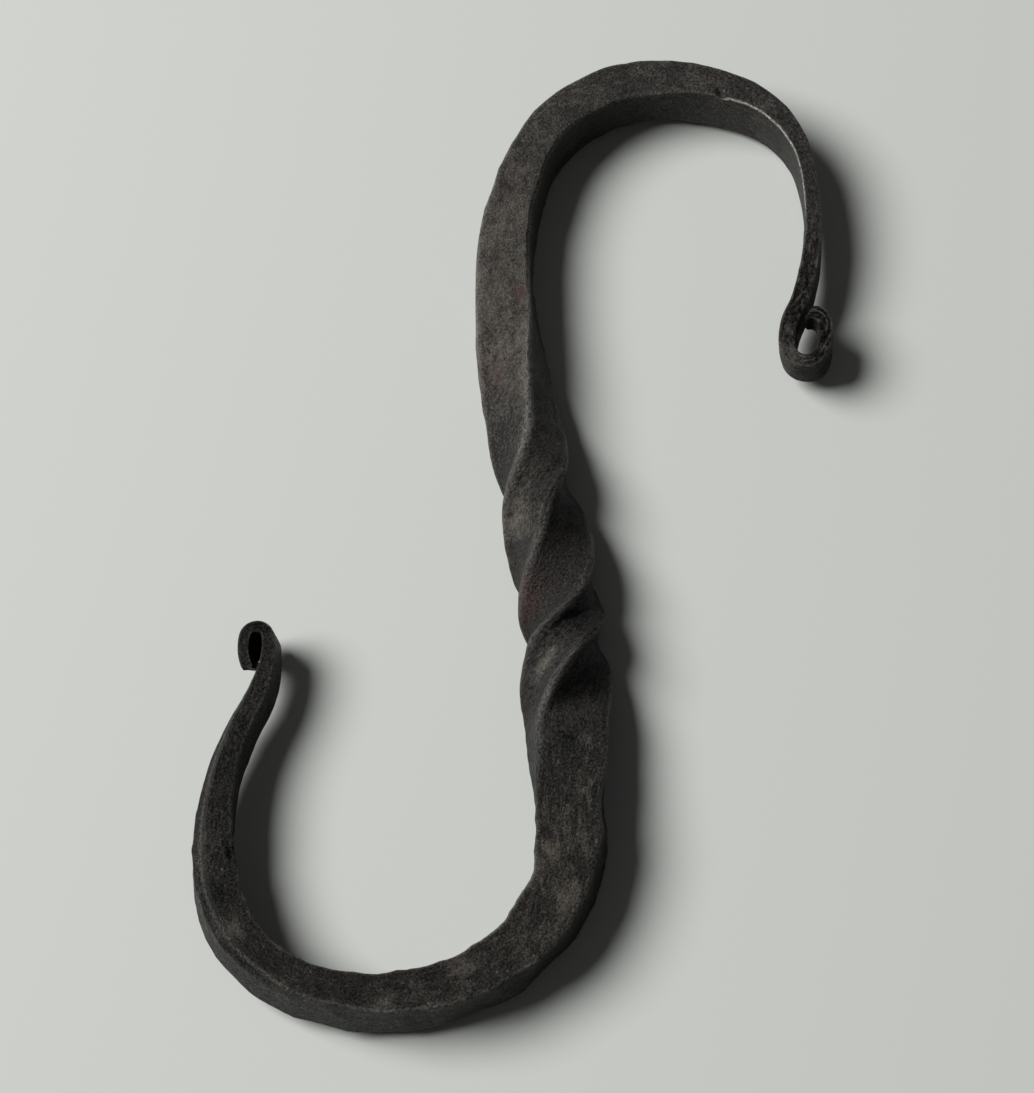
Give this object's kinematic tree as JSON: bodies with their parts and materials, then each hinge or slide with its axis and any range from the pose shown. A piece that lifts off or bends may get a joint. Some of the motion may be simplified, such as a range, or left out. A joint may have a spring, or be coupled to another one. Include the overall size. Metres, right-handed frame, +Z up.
{
  "type": "s hook",
  "caption": "Hand-forged S hook of square bar with a twisted shank, two open hooks facing opposite ways and a small scroll rolled at each point.",
  "frame": {"origin": "under the centre of the hook's outline, on the surface it lies on", "axes": "+X across the hook towards the upper hook's point, +Y along the shank towards the upper hook, +Z up through the depth of the bar as the hook lies flat"},
  "size_m": [0.077, 0.0972, 0.0088],
  "materials": {
    "forged_iron": "matt black-brown forge scale over hammered iron, rubbed to bare metal on the thinnest edges"
  },
  "bodies": {
    "root": {"s_hook": "forged_iron"}
  },
  "joints": []
}
